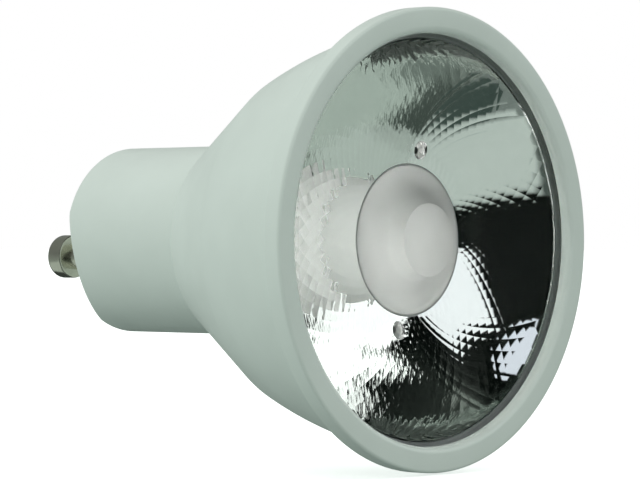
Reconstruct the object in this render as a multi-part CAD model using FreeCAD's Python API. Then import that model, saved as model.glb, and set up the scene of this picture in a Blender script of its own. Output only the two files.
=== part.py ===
import FreeCAD, Part

import math
import os

from FreeCAD import Vector

# Spotlight bulb with a twist-lock pin base, all sizes in millimetres.
# The lamp axis is the Y axis. The beam leaves towards -Y and the pins point to +Y.
# The origin is the centre of the base's end face, where the bulb meets its holder.
# A depth is a distance behind the front face of the bezel, along the axis.

# Housing
SHOULDER_DEPTH = 29.6
WALL = 1.4
NECK_RADIUS = 10.7
SHOULDER_RADIUS = 11.5
SHOULDER_ROUND = 0.35
CREASE_DEPTH = 17.0
CREASE_SHARE = 0.66
BELL_ARC_RADIUS = 55.0
END_WALL = 1.8
END_EDGE_ROUND = 0.6
BEVEL_START = 7.6
BEVEL_ANGLE = 27.0

# Bezel ring
BEZEL_RADIUS = 25.0
BEZEL_EDGE_ROUND = 0.4
BEZEL_FACE_WIDTH = 2.8
BEZEL_INNER_ROUND = 0.75
BEZEL_OVERHANG = 1.8
BEZEL_LIP_DEPTH = 1.2
BEZEL_BACK_ROUND = 0.25

# Contact pins
PIN_SPACING = 10.0
PIN_CLOCK = -22.8
PIN_LENGTH = 7.2
PIN_HEAD_RADIUS = 2.5
PIN_HEAD_LENGTH = 2.4
PIN_TIP_ROUND = 0.7
PIN_HEAD_BACK_ROUND = 0.25
PIN_STEM_RADIUS = 1.5
PIN_RIVET_RADIUS = 2.1
PIN_RIVET_LENGTH = 0.5
PIN_TAIL_RADIUS = 1.0
PIN_TAIL_LENGTH = 2.2
PIN_HOLE_CLEARANCE = 0.05

# Faceted optic
LENS_FLANGE_LAP = 0.4
LENS_FLANGE_THICKNESS = 1.0
LENS_FLANGE_CLEARANCE = 0.1
LENS_BACK_DEPTH = 7.8
FACETS_AROUND = 68
FACET_INNER_RADIUS = 8.3
FACET_MARGIN = 0.4
FACET_RIM_DEPTH = 2.5
FACET_ARC_RADIUS = 85.0
POST_RADIUS = 3.97
POST_CEILING = 0.8
POST_CEILING_RISE = 0.25
POST_FOOT_RADIUS = 4.4
POST_FOOT_DEPTH = 5.4
POST_FLARE_RADIUS = 5.6
POST_FLARE_DEPTH = 7.2
DISH_RADIUS = 8.07
PEG_CIRCLE_RADIUS = 9.9
PEG_RADIUS = 1.0
PEG_TIP_RADIUS = 0.4
PEG_LENGTH = 1.0
PEG_CLOCK = 10.4
PEG_CLEARANCE = 0.1

# Light source and its holder
HOLDER_RADIUS = 13.6
HOLDER_THICKNESS = 1.6
HOLDER_WINDOW_RADIUS = 6.3
HOLDER_LEDGE = 0.4
HOLDER_EDGE_ROUND = 0.3
EMITTER_BOARD_SIDE = 11.4
EMITTER_BOARD_THICKNESS = 1.0
EMITTER_BOARD_CLEARANCE = 0.1
PAD_THICKNESS = 0.2
EMITTER_RADIUS = 4.4
EMITTER_HEIGHT = 0.35
DAM_WIDTH = 0.7
DAM_HEIGHT = 0.5
SCREW_CIRCLE_RADIUS = 11.2
SCREW_HEAD_RADIUS = 1.8
SCREW_SHANK_RADIUS = 1.0
SCREW_LENGTH = 3.4
SCREW_CLEARANCE = 0.05
SCREW_SLOT_WIDTH = 0.45
SCREW_SLOT_DEPTH = 0.5

# Heat sink
HEAT_SINK_PLATE = 2.0
HEAT_SINK_SKIRT = 1.2
HEAT_SINK_CLEARANCE = 0.1
HEAT_SINK_END_DEPTH = 24.5
HEAT_SINK_INNER_ROUND = 1.0

# Driver board and its parts
BOARD_WIDTH = 16.4
BOARD_LENGTH = 28.0
BOARD_IN_BELL = 9.8
BOARD_THICKNESS = 1.2
BOARD_HEIGHT = -2.0
BOARD_END_GAP = 3.0
BOARD_SLOT_CLEARANCE = 0.1
GUIDE_SHORTFALL = 5.2
GUIDE_WIDTH = 1.4
GUIDE_THICKNESS = 1.0
LEAD_RADIUS = 0.3
LEAD_REACH = 1.5
BULK_CAN_RADIUS = 4.0
BULK_CAN_LENGTH = 12.0
OUTPUT_CAN_RADIUS = 3.15
OUTPUT_CAN_LENGTH = 8.0
BULK_CAN_ACROSS = 2.6
OUTPUT_CAN_ACROSS = 4.0
CAN_EDGE_ROUND = 0.6
CAN_GROOVE = 0.3
CAN_GROOVE_PLACE = 1.2
CORE_FLANGE_RADIUS = 3.9
CORE_POST_RADIUS = 1.8
CORE_FLANGE_THICKNESS = 1.2
CORE_HEIGHT = 7.5
CORE_ACROSS = -3.6
WINDING_RADIUS = 3.4
WINDING_CLEARANCE = 0.02
FILM_WIDTH = 4.0
FILM_LENGTH = 5.0
FILM_HEIGHT = 6.2
FILM_ACROSS = -4.2
FILM_ROUND = 0.4
FILM_LEG_PITCH = 3.0
FUSE_RADIUS = 1.4
FUSE_LENGTH = 6.5
FUSE_WAIST = 1.2
FUSE_CAP = 1.4
FUSE_NECK = 0.4
FUSE_ROUND = 0.3
FUSE_STANDOFF = 0.6
PIN_LEAD_REACH = 1.6
RECTIFIER_WIDTH = 4.0
RECTIFIER_LENGTH = 4.8
RECTIFIER_THICKNESS = 1.4
RECTIFIER_ACROSS = -2.5
RECTIFIER_BACK_GAP = 10.0
CHIP_WIDTH = 3.9
CHIP_LENGTH = 4.9
CHIP_THICKNESS = 1.5
CHIP_ACROSS = 1.0
CHIP_FRONT_GAP = 8.0
LEG_WIDTH = 0.4
LEG_THICKNESS = 0.2
LEG_FOOT = 0.8
PACKAGE_STANDOFF = 0.15
RESISTOR_COUNT = 3
RESISTOR_PITCH = 2.2
RESISTOR_WIDTH = 1.6
RESISTOR_LENGTH = 3.2
RESISTOR_THICKNESS = 0.55
RESISTOR_ACROSS = -2.8
RESISTOR_FRONT_GAP = 2.0
WIRE_RADIUS = 0.5
WIRE_BEND = 1.3
WIRE_HOLE_CLEARANCE = 0.3
SUPPLY_PAD_ACROSS = 0.7
SUPPLY_PAD_REACH = 1.0
SEAT_GAP = 0.05

# How near two places count as the same when an edge is picked out
SAME = 0.01

AXIS = Vector(0, 1, 0)
CENTRE = Vector(0, 0, 0)
LENS_FRONT_DEPTH = BEZEL_LIP_DEPTH
MOUTH_DEPTH = LENS_FRONT_DEPTH + LENS_FLANGE_THICKNESS
BEZEL_OPENING_RADIUS = BEZEL_RADIUS - BEZEL_FACE_WIDTH
LENS_FLANGE_RADIUS = BEZEL_OPENING_RADIUS + LENS_FLANGE_LAP
FACET_OUTER_RADIUS = BEZEL_OPENING_RADIUS - FACET_MARGIN
BELL_MOUTH_RADIUS = BEZEL_RADIUS - BEZEL_OVERHANG
CREASE_RADIUS = SHOULDER_RADIUS + CREASE_SHARE * (BELL_MOUTH_RADIUS - SHOULDER_RADIUS)
NECK_LENGTH = BOARD_LENGTH - BOARD_IN_BELL
BODY_LENGTH = SHOULDER_DEPTH + NECK_LENGTH
GUIDE_LENGTH = NECK_LENGTH - GUIDE_SHORTFALL
END_WALL_DEPTH = BODY_LENGTH - END_WALL
PLATE_DEPTH = LENS_BACK_DEPTH + HOLDER_THICKNESS
PLATE_BACK_DEPTH = PLATE_DEPTH + HEAT_SINK_PLATE
BOARD_BACK_DEPTH = END_WALL_DEPTH - BOARD_END_GAP
BOARD_FRONT_DEPTH = BOARD_BACK_DEPTH - BOARD_LENGTH
BOARD_TOP = BOARD_HEIGHT + BOARD_THICKNESS
FUSE_ROW_PARTS = 2 * CORE_FLANGE_RADIUS + FILM_LENGTH + FUSE_LENGTH + 2 * LEAD_REACH
FUSE_ROW_GAP = (BOARD_LENGTH - FUSE_ROW_PARTS) / 5
CAN_ROW_PARTS = 2 * OUTPUT_CAN_RADIUS + BULK_CAN_LENGTH + LEAD_REACH
CAN_ROW_GAP = (BOARD_LENGTH - CAN_ROW_PARTS) / 7
CORE_PLACE = BOARD_FRONT_DEPTH + FUSE_ROW_GAP + CORE_FLANGE_RADIUS
FILM_PLACE = CORE_PLACE + CORE_FLANGE_RADIUS + FUSE_ROW_GAP
FUSE_PLACE = FILM_PLACE + FILM_LENGTH + FUSE_ROW_GAP + LEAD_REACH
FUSE_ACROSS = 3 * LEAD_RADIUS - PIN_SPACING / 2
OUTPUT_CAN_PLACE = BOARD_FRONT_DEPTH + CAN_ROW_GAP + OUTPUT_CAN_RADIUS
BULK_CAN_PLACE = OUTPUT_CAN_PLACE + OUTPUT_CAN_RADIUS + 3 * CAN_ROW_GAP + LEAD_REACH
NECK_BORE = NECK_RADIUS - WALL
GUIDE_DEPTH = BOARD_BACK_DEPTH - GUIDE_LENGTH + GUIDE_THICKNESS
WIRE_PLACE = EMITTER_BOARD_SIDE / 2 + WIRE_RADIUS + EMITTER_BOARD_CLEARANCE


def place(radius, depth):
    """A point of a turned outline, at a radius and a depth."""
    return Vector(radius, depth - BODY_LENGTH, 0)


def rounded_outline(corners):
    """A closed wire through corners of (radius, depth, rounding)."""
    edges = []
    ends = []
    count = len(corners)
    for index, (radius, depth, rounding) in enumerate(corners):
        corner = place(radius, depth)
        before = place(*corners[index - 1][:2]) - corner
        after = place(*corners[(index + 1) % count][:2]) - corner
        before.normalize()
        after.normalize()
        half_angle = before.getAngle(after) / 2
        if rounding == 0:
            ends.append((corner, corner))
            continue
        setback = rounding / math.tan(half_angle)
        middle_way = before + after
        middle_way.normalize()
        reach = rounding / math.sin(half_angle) - rounding
        start = corner + before * setback
        end = corner + after * setback
        edges.append(Part.Arc(start, corner + middle_way * reach, end).toShape())
        ends.append((start, end))
    for index in range(count):
        leave = ends[index][1]
        arrive = ends[(index + 1) % count][0]
        edges.append(Part.makeLine(leave, arrive))
    return Part.Wire(Part.__sortEdges__(edges))


def turned(wire):
    """The solid that a closed outline makes round the lamp axis."""
    return Part.Face(wire).revolve(CENTRE, AXIS, 360)


def turned_corners(*corners):
    """A turned solid from rounded corners."""
    return turned(rounded_outline(corners))


def rod(radius, start, end):
    """A round rod between two points."""
    return Part.makeCylinder(radius, (end - start).Length, start, end - start)


def box(centre_x, depth, height, width, length, thickness):
    """A block on the driver board: its middle in X, its front depth and its underside."""
    corner = Vector(centre_x - width / 2, depth - BODY_LENGTH, height)
    return Part.makeBox(width, length, thickness, corner)


def clocked(shape, angle):
    """The shape turned round the lamp axis."""
    return shape.rotated(CENTRE, AXIS, angle)


def bent_wire(points, bend, radius):
    """A round wire along straight runs with a tangent arc at each bend."""
    edges = []
    leave = points[0]
    for before, corner, after in zip(points, points[1:], points[2:]):
        arriving = before - corner
        leaving = after - corner
        arriving.normalize()
        leaving.normalize()
        half_angle = arriving.getAngle(leaving) / 2
        setback = bend / math.tan(half_angle)
        middle_way = arriving + leaving
        middle_way.normalize()
        middle = corner + middle_way * (bend / math.sin(half_angle) - bend)
        edges.append(Part.makeLine(leave, corner + arriving * setback))
        edges.append(Part.Arc(corner + arriving * setback, middle, corner + leaving * setback).toShape())
        leave = corner + leaving * setback
    edges.append(Part.makeLine(leave, points[-1]))
    path = Part.Wire(edges)
    section = Part.Wire(Part.makeCircle(radius, points[0], points[1] - points[0]))
    return path.makePipeShell([section], True, False)


def arc_centre(start, end, radius):
    """The centre of the arc through two points, on the side of the axis and the front."""
    chord = end - start
    middle = (start + end) * 0.5
    across = Vector(-chord.y, chord.x, 0)
    across.normalize()
    if across.x > 0:
        across = across * -1
    return middle + across * math.sqrt(radius ** 2 - (chord.Length / 2) ** 2)


def arc_between(centre, start, end):
    """The short arc between two points about a centre."""
    middle_way = (start + end) * 0.5 - centre
    middle_way.normalize()
    middle = centre + middle_way * (start - centre).Length
    return Part.Arc(start, middle, end).toShape()


def line_on_circle(start, way, centre, radius):
    """Where a line leaves a circle, going along way."""
    offset = start - centre
    along = offset.dot(way)
    reach = math.sqrt(along ** 2 - offset.dot(offset) + radius ** 2) - along
    return start + way * reach


def on_depth(centre, radius, depth):
    """The point of a circle at a depth, on the side away from the axis."""
    drop = depth - BODY_LENGTH - centre.y
    return Vector(centre.x + math.sqrt(radius ** 2 - drop ** 2), depth - BODY_LENGTH, 0)


BELL_CENTRE = arc_centre(place(BELL_MOUTH_RADIUS, MOUTH_DEPTH), place(CREASE_RADIUS, CREASE_DEPTH),
                         BELL_ARC_RADIUS)


def bell_line(inset, back_depth):
    """Mouth, crease and back points of the bell's wall, moved inwards by inset."""
    crease = place(CREASE_RADIUS, CREASE_DEPTH)
    shoulder = place(SHOULDER_RADIUS, SHOULDER_DEPTH)
    way = crease - shoulder
    way.normalize()
    start = shoulder + Vector(way.y, -way.x, 0) * inset
    radius = BELL_ARC_RADIUS - inset
    crease_in = line_on_circle(start, way, BELL_CENTRE, radius)
    run = (back_depth - BODY_LENGTH - start.y) / way.y
    return on_depth(BELL_CENTRE, radius, MOUTH_DEPTH), crease_in, start + way * run


def housing_outside():
    """The bell, its shoulder and the neck, solid."""
    mouth, crease, shoulder = bell_line(0, SHOULDER_DEPTH)
    edges = [arc_between(BELL_CENTRE, mouth, crease)]
    corners = [crease, shoulder, place(NECK_RADIUS, SHOULDER_DEPTH), place(NECK_RADIUS, BODY_LENGTH),
               place(0, BODY_LENGTH), place(0, MOUTH_DEPTH), mouth]
    for start, end in zip(corners, corners[1:]):
        edges.append(Part.makeLine(start, end))
    solid = turned(Part.Wire(edges))
    back_edges = [edge for edge in solid.Edges
                  if abs(edge.BoundBox.YMax) < SAME and edge.BoundBox.YLength < SAME
                  and edge.BoundBox.XLength > NECK_RADIUS]
    solid = solid.makeFillet(END_EDGE_ROUND, back_edges)
    shoulder_edges = [edge for edge in solid.Edges
                      if abs(edge.BoundBox.YMax - shoulder.y) < SAME and edge.BoundBox.YLength < SAME
                      and edge.BoundBox.XMax > (NECK_RADIUS + SHOULDER_RADIUS) / 2]
    return solid.makeFillet(SHOULDER_ROUND, shoulder_edges)


def housing_inside():
    """The hollow of the bell and the neck."""
    mouth, crease, start = bell_line(WALL, SHOULDER_DEPTH)
    way = crease - start
    meet = start + way * ((NECK_BORE - start.x) / way.x)
    edges = [arc_between(BELL_CENTRE, mouth, crease)]
    corners = [crease, meet, place(NECK_BORE, END_WALL_DEPTH), place(0, END_WALL_DEPTH),
               place(0, MOUTH_DEPTH), mouth]
    for first, second in zip(corners, corners[1:]):
        edges.append(Part.makeLine(first, second))
    return turned(Part.Wire(edges))


def base_bevel():
    """The wedge that is cut away beyond one pin, at the base's end."""
    reach = 2 * NECK_RADIUS
    drop = reach * math.tan(math.radians(BEVEL_ANGLE))
    points = [Vector(BEVEL_START, 0, -reach), Vector(BEVEL_START + reach, -drop, -reach),
              Vector(BEVEL_START + reach, reach, -reach), Vector(BEVEL_START, reach, -reach)]
    face = Part.Face(Part.makePolygon(points + [points[0]]))
    return face.extrude(Vector(0, 0, 2 * reach))


def board_guides():
    """Four ribs in the neck that hold the driver board's long edges."""
    slot = BOARD_THICKNESS + 2 * BOARD_SLOT_CLEARANCE
    ribs = []
    for side in (-1, 1):
        middle = side * (BOARD_WIDTH / 2 + BOARD_SLOT_CLEARANCE)
        for height in (BOARD_TOP + BOARD_SLOT_CLEARANCE,
                       BOARD_TOP + BOARD_SLOT_CLEARANCE - slot - GUIDE_THICKNESS):
            rib = box(middle, GUIDE_DEPTH, height, 2 * GUIDE_WIDTH, GUIDE_LENGTH, GUIDE_THICKNESS)
            ribs.append(rib)
    bore = rod(NECK_BORE + WALL / 2, place(0, GUIDE_DEPTH), place(0, GUIDE_DEPTH + GUIDE_LENGTH))
    return [rib.common(bore) for rib in ribs]


def housing_shell():
    """The plastic moulding: bell, neck, end wall, bevels, pin holes and board guides."""
    shell = housing_outside().cut(housing_inside())
    cuts = []
    for side in (0, 180):
        cuts.append(clocked(base_bevel(), PIN_CLOCK + side))
        hole = rod(PIN_STEM_RADIUS + PIN_HOLE_CLEARANCE,
                   Vector(PIN_SPACING / 2, -2 * END_WALL, 0), Vector(PIN_SPACING / 2, END_WALL, 0))
        cuts.append(clocked(hole, PIN_CLOCK + side))
    shell = shell.cut(cuts)
    ribs = [clocked(rib, PIN_CLOCK) for rib in board_guides()]
    return shell.fuse(ribs).removeSplitter()


def bezel_ring():
    """The ring that closes the bell's mouth and holds the optic's flange."""
    flange = LENS_FLANGE_RADIUS + LENS_FLANGE_CLEARANCE
    return turned_corners(
        (BEZEL_OPENING_RADIUS, 0, BEZEL_INNER_ROUND),
        (BEZEL_RADIUS, 0, BEZEL_EDGE_ROUND),
        (BEZEL_RADIUS, MOUTH_DEPTH, BEZEL_BACK_ROUND),
        (flange, MOUTH_DEPTH, 0),
        (flange, BEZEL_LIP_DEPTH, 0),
        (BEZEL_OPENING_RADIUS, BEZEL_LIP_DEPTH, 0),
    )


def contact_pin(side):
    """A turned mushroom pin, riveted through the end wall."""
    head_back = BODY_LENGTH + PIN_LENGTH - PIN_HEAD_LENGTH
    tip = BODY_LENGTH + PIN_LENGTH
    rivet_back = END_WALL_DEPTH - PIN_RIVET_LENGTH
    pin = turned_corners(
        (0, tip, 0),
        (PIN_HEAD_RADIUS, tip, PIN_TIP_ROUND),
        (PIN_HEAD_RADIUS, head_back, PIN_HEAD_BACK_ROUND),
        (PIN_STEM_RADIUS, head_back, 0),
        (PIN_STEM_RADIUS, END_WALL_DEPTH, 0),
        (PIN_RIVET_RADIUS, END_WALL_DEPTH, 0),
        (PIN_RIVET_RADIUS, rivet_back, 0),
        (PIN_TAIL_RADIUS, rivet_back, 0),
        (PIN_TAIL_RADIUS, rivet_back - PIN_TAIL_LENGTH, 0),
        (0, rivet_back - PIN_TAIL_LENGTH, 0),
    )
    return clocked(pin.translated(Vector(side * PIN_SPACING / 2, 0, 0)), PIN_CLOCK)


def facet_rings():
    """Radius and depth of each ring of facet corners, from the centre outwards.

    Corners of neighbouring rings are staggered by half a facet. Each ring is where the
    line from the corner two rings in, through the middle of the two corners between,
    meets the bowl's arc again, so that every four-sided facet is flat.
    """
    inner = Vector(FACET_INNER_RADIUS, LENS_BACK_DEPTH, 0)
    outer = Vector(FACET_OUTER_RADIUS, FACET_RIM_DEPTH, 0)
    chord = outer - inner
    across = Vector(-chord.y, chord.x, 0)
    across.normalize()
    if across.y > 0:
        across = across * -1
    half_chord = chord.Length / 2
    centre = (inner + outer) * 0.5 + across * math.sqrt(FACET_ARC_RADIUS ** 2 - half_chord ** 2)
    shrink = math.cos(math.pi / FACETS_AROUND)
    spoke = inner - centre
    steepness = abs(spoke.x) / FACET_ARC_RADIUS
    sag = FACET_INNER_RADIUS * (1 - shrink) * steepness
    turn = math.sqrt(2 * FACET_ARC_RADIUS * sag) / FACET_ARC_RADIUS
    angle = math.atan2(spoke.x, spoke.y) + turn
    second = centre + Vector(math.sin(angle), math.cos(angle), 0) * FACET_ARC_RADIUS
    rings = [inner, second]
    while True:
        start = rings[-2]
        through = Vector(rings[-1].x * shrink, rings[-1].y, 0) - start
        reach = -2 * (start - centre).dot(through) / through.dot(through)
        following = start + through * reach
        if following.x > FACET_OUTER_RADIUS:
            return rings
        rings.append(following)


def facet_corner(ring, angle):
    """A corner of the faceted bowl."""
    return Vector(ring.x * math.sin(angle), ring.y - BODY_LENGTH, ring.x * math.cos(angle))


def flat_face(points):
    """A flat face with these corners."""
    return Part.Face(Part.makePolygon(points + [points[0]]))


def faceted_bowl():
    """The solid with staggered flat facets behind the optic's front face."""
    rings = facet_rings()
    step = 2 * math.pi / FACETS_AROUND
    last = len(rings) - 1
    collar = Vector(rings[last].x, LENS_FRONT_DEPTH + LENS_FLANGE_THICKNESS / 2, 0)
    faces = []
    for number in range(FACETS_AROUND):
        for index in range(last - 1):
            angle = (number + 0.5 * (index % 2)) * step
            faces.append(flat_face([
                facet_corner(rings[index], angle),
                facet_corner(rings[index + 1], angle - step / 2),
                facet_corner(rings[index + 2], angle),
                facet_corner(rings[index + 1], angle + step / 2),
            ]))
        inner_angle = number * step
        faces.append(flat_face([
            facet_corner(rings[0], inner_angle),
            facet_corner(rings[0], inner_angle + step),
            facet_corner(rings[1], inner_angle + step / 2),
        ]))
        outer_angle = (number + 0.5 * (last % 2)) * step
        faces.append(flat_face([
            facet_corner(rings[last], outer_angle),
            facet_corner(rings[last], outer_angle + step),
            facet_corner(rings[last - 1], outer_angle + step / 2),
        ]))
        faces.append(flat_face([
            facet_corner(rings[last], outer_angle),
            facet_corner(rings[last], outer_angle + step),
            facet_corner(collar, outer_angle + step),
            facet_corner(collar, outer_angle),
        ]))
    numbers = range(FACETS_AROUND)
    faces.append(flat_face([facet_corner(rings[0], number * step) for number in numbers]))
    outer_start = 0.5 * (last % 2)
    faces.append(flat_face([facet_corner(collar, (number + outer_start) * step) for number in numbers]))
    solid = Part.makeSolid(Part.makeShell(faces))
    if solid.Volume < 0:
        solid.reverse()
    return solid


def post_hollow():
    """The frosted trumpet-shaped hollow that opens over the light source."""
    ceiling = LENS_FRONT_DEPTH + POST_CEILING
    crown = place(0, ceiling - POST_CEILING_RISE)
    side = place(POST_RADIUS, ceiling)
    middle = place(POST_RADIUS / 2, ceiling - POST_CEILING_RISE * 3 / 4)
    foot = place(POST_FOOT_RADIUS, POST_FOOT_DEPTH)
    mouth = place(DISH_RADIUS, LENS_BACK_DEPTH)
    below = place(DISH_RADIUS, LENS_BACK_DEPTH + HOLDER_THICKNESS)
    edges = [
        Part.Arc(crown, middle, side).toShape(),
        Part.makeLine(side, foot),
        Part.Arc(foot, place(POST_FLARE_RADIUS, POST_FLARE_DEPTH), mouth).toShape(),
        Part.makeLine(mouth, below),
        Part.makeLine(below, place(0, LENS_BACK_DEPTH + HOLDER_THICKNESS)),
        Part.makeLine(place(0, LENS_BACK_DEPTH + HOLDER_THICKNESS), crown),
    ]
    return turned(Part.Wire(edges))


def peg_places():
    """Centres of the two locating pegs, as directions from the axis."""
    angle = math.radians(PEG_CLOCK)
    way = Vector(math.sin(angle), 0, math.cos(angle)) * PEG_CIRCLE_RADIUS
    return [way, way * -1]


def locating_peg():
    """A peg on the axis, rooted in the bowl, with a coned tip."""
    tip = LENS_BACK_DEPTH + PEG_LENGTH
    return turned_corners(
        (0, LENS_BACK_DEPTH - PEG_LENGTH, 0),
        (PEG_RADIUS, LENS_BACK_DEPTH - PEG_LENGTH, 0),
        (PEG_RADIUS, tip - PEG_RADIUS + PEG_TIP_RADIUS, 0),
        (PEG_TIP_RADIUS, tip, 0),
        (0, tip, 0),
    )


def optic_lens():
    """The clear optic: flange, faceted bowl, hollow post and locating pegs."""
    flange = rod(LENS_FLANGE_RADIUS, place(0, LENS_FRONT_DEPTH), place(0, MOUTH_DEPTH))
    lens = flange.fuse(faceted_bowl())
    peg = locating_peg()
    pegs = [peg.translated(way) for way in peg_places()]
    return lens.fuse(pegs).cut(post_hollow())


def emitter_square(side, front, back):
    """A square block across the lamp axis, clocked with the locating pegs."""
    corner = Vector(-side / 2, front - BODY_LENGTH, -side / 2)
    return clocked(Part.makeBox(side, back - front, side, corner), PEG_CLOCK)


def wire_slots(reach, front, back):
    """Slots beside the emitter board for the two supply wires."""
    width = 2 * (WIRE_RADIUS + WIRE_HOLE_CLEARANCE)
    corner = Vector(-reach, front - BODY_LENGTH, -width / 2)
    return clocked(Part.makeBox(2 * reach, back - front, width, corner), PEG_CLOCK)


def screw_places():
    """Centres of the two screws, as directions from the axis."""
    angle = math.radians(PEG_CLOCK)
    way = Vector(math.cos(angle), 0, -math.sin(angle)) * SCREW_CIRCLE_RADIUS
    return [way, way * -1]


def emitter_holder():
    """The white ring that holds the light source and centres the optic."""
    ring = turned_corners(
        (HOLDER_WINDOW_RADIUS, LENS_BACK_DEPTH, 0),
        (HOLDER_RADIUS, LENS_BACK_DEPTH, HOLDER_EDGE_ROUND),
        (HOLDER_RADIUS, PLATE_DEPTH, 0),
        (HOLDER_WINDOW_RADIUS, PLATE_DEPTH, 0),
    )
    side = EMITTER_BOARD_SIDE + 2 * EMITTER_BOARD_CLEARANCE
    reach = WIRE_PLACE + WIRE_RADIUS + WIRE_HOLE_CLEARANCE
    cuts = [emitter_square(side, LENS_BACK_DEPTH + HOLDER_LEDGE, PLATE_DEPTH),
            wire_slots(reach, LENS_BACK_DEPTH, PLATE_DEPTH)]
    for way in peg_places():
        cuts.append(rod(PEG_RADIUS + PEG_CLEARANCE, place(0, LENS_BACK_DEPTH) + way,
                        place(0, PLATE_DEPTH) + way))
    for way in screw_places():
        cuts.append(screw_form(SCREW_CLEARANCE).translated(way))
    return ring.cut(cuts)


def screw_form(clearance):
    """A countersunk screw on the axis, with its head flush with the holder."""
    head = SCREW_HEAD_RADIUS + clearance
    shank = SCREW_SHANK_RADIUS + clearance
    return turned_corners(
        (0, LENS_BACK_DEPTH, 0),
        (head, LENS_BACK_DEPTH, 0),
        (shank, LENS_BACK_DEPTH + head - shank, 0),
        (shank, LENS_BACK_DEPTH + SCREW_LENGTH, 0),
        (0, LENS_BACK_DEPTH + SCREW_LENGTH, 0),
    )


def holder_screws():
    """Two slotted countersunk screws through the holder into the heat sink."""
    slot = Part.makeBox(4 * SCREW_HEAD_RADIUS, 2 * SCREW_SLOT_DEPTH, SCREW_SLOT_WIDTH,
                        Vector(-2 * SCREW_HEAD_RADIUS, LENS_BACK_DEPTH - SCREW_SLOT_DEPTH - BODY_LENGTH,
                               -SCREW_SLOT_WIDTH / 2))
    screw = screw_form(0).cut(slot)
    return Part.makeCompound([screw.translated(way) for way in screw_places()])


def emitter_board():
    """The square carrier of the light source."""
    front = PLATE_DEPTH - PAD_THICKNESS - EMITTER_BOARD_THICKNESS
    return emitter_square(EMITTER_BOARD_SIDE, front, PLATE_DEPTH - PAD_THICKNESS)


def thermal_pad():
    """The soft pad between the carrier and the heat sink."""
    return emitter_square(EMITTER_BOARD_SIDE, PLATE_DEPTH - PAD_THICKNESS, PLATE_DEPTH)


def emitter_disc():
    """The round phosphor field."""
    back = PLATE_DEPTH - PAD_THICKNESS - EMITTER_BOARD_THICKNESS
    return rod(EMITTER_RADIUS, place(0, back - EMITTER_HEIGHT), place(0, back))


def emitter_dam():
    """The silicone dam round the phosphor field."""
    back = PLATE_DEPTH - PAD_THICKNESS - EMITTER_BOARD_THICKNESS
    outer = EMITTER_RADIUS + DAM_WIDTH
    return turned_corners(
        (EMITTER_RADIUS, back, 0),
        (EMITTER_RADIUS, back - DAM_HEIGHT, DAM_WIDTH / 3),
        (outer, back - DAM_HEIGHT, DAM_WIDTH / 3),
        (outer, back, 0),
    )


def wire_places():
    """Where the two supply wires pass the heat sink, as directions from the axis."""
    angle = math.radians(PEG_CLOCK)
    way = Vector(math.cos(angle), 0, -math.sin(angle)) * WIRE_PLACE
    return [way, way * -1]


def heat_sink():
    """The aluminium plate and skirt that line the bell."""
    inset = WALL + HEAT_SINK_CLEARANCE
    radius = BELL_ARC_RADIUS - inset
    front = on_depth(BELL_CENTRE, radius, PLATE_DEPTH)
    _, crease, back = bell_line(inset, HEAT_SINK_END_DEPTH)
    inner_radius = radius - HEAT_SINK_SKIRT
    _, crease_in, back_in = bell_line(inset + HEAT_SINK_SKIRT, HEAT_SINK_END_DEPTH)
    plate_back = on_depth(BELL_CENTRE, inner_radius, PLATE_BACK_DEPTH)
    edges = [
        Part.makeLine(place(0, PLATE_DEPTH), front),
        arc_between(BELL_CENTRE, front, crease),
        Part.makeLine(crease, back),
        Part.makeLine(back, back_in),
        Part.makeLine(back_in, crease_in),
        arc_between(BELL_CENTRE, crease_in, plate_back),
        Part.makeLine(plate_back, place(0, PLATE_BACK_DEPTH)),
        Part.makeLine(place(0, PLATE_BACK_DEPTH), place(0, PLATE_DEPTH)),
    ]
    sink = turned(Part.Wire(edges))
    inner_edges = [edge for edge in sink.Edges
                   if abs(edge.BoundBox.YMax - plate_back.y) < SAME and edge.BoundBox.YLength < SAME
                   and edge.BoundBox.XLength > plate_back.x]
    sink = sink.makeFillet(HEAT_SINK_INNER_ROUND, inner_edges)
    cuts = []
    for way in screw_places():
        cuts.append(rod(SCREW_SHANK_RADIUS + SCREW_CLEARANCE, place(0, PLATE_DEPTH - WALL) + way,
                        place(0, PLATE_BACK_DEPTH + WALL) + way))
    for way in wire_places():
        cuts.append(rod(WIRE_RADIUS + WIRE_HOLE_CLEARANCE, place(0, PLATE_DEPTH - WALL) + way,
                        place(0, PLATE_BACK_DEPTH + WALL) + way))
    return sink.cut(cuts)


def on_board(shape):
    """A driver part, clocked with the board and the pins."""
    return clocked(shape, PIN_CLOCK)


def driver_board():
    """The printed board that stands along the neck, with its solder holes."""
    board = box(0, BOARD_FRONT_DEPTH, BOARD_HEIGHT, BOARD_WIDTH, BOARD_LENGTH, BOARD_THICKNESS)
    return on_board(board)


def legs(places, top):
    """Thin straight legs from the board's face up to a height."""
    pins = []
    for across, depth in places:
        start = Vector(across, depth - BODY_LENGTH, BOARD_TOP)
        pins.append(rod(LEAD_RADIUS, start, Vector(across, depth - BODY_LENGTH, top)))
    return pins


def can(radius, length):
    """A capacitor can along +Y from the origin, with a crimp groove and rounded ends."""
    groove_end = CAN_GROOVE_PLACE + 3 * CAN_GROOVE
    can_form = turned_corners(
        (0, 0, 0),
        (radius, 0, CAN_EDGE_ROUND / 2),
        (radius, CAN_GROOVE_PLACE, 0),
        (radius - CAN_GROOVE, CAN_GROOVE_PLACE + CAN_GROOVE, 0),
        (radius - CAN_GROOVE, groove_end, 0),
        (radius, groove_end + CAN_GROOVE, 0),
        (radius, length, CAN_EDGE_ROUND),
        (0, length, 0),
    )
    return can_form.translated(Vector(0, BODY_LENGTH, 0))


def stood(shape, across, depth):
    """A part turned along +Y from the origin, stood up on the board."""
    upright = shape.rotated(CENTRE, Vector(1, 0, 0), 90)
    return upright.translated(Vector(across, depth - BODY_LENGTH, BOARD_TOP + SEAT_GAP))


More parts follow.
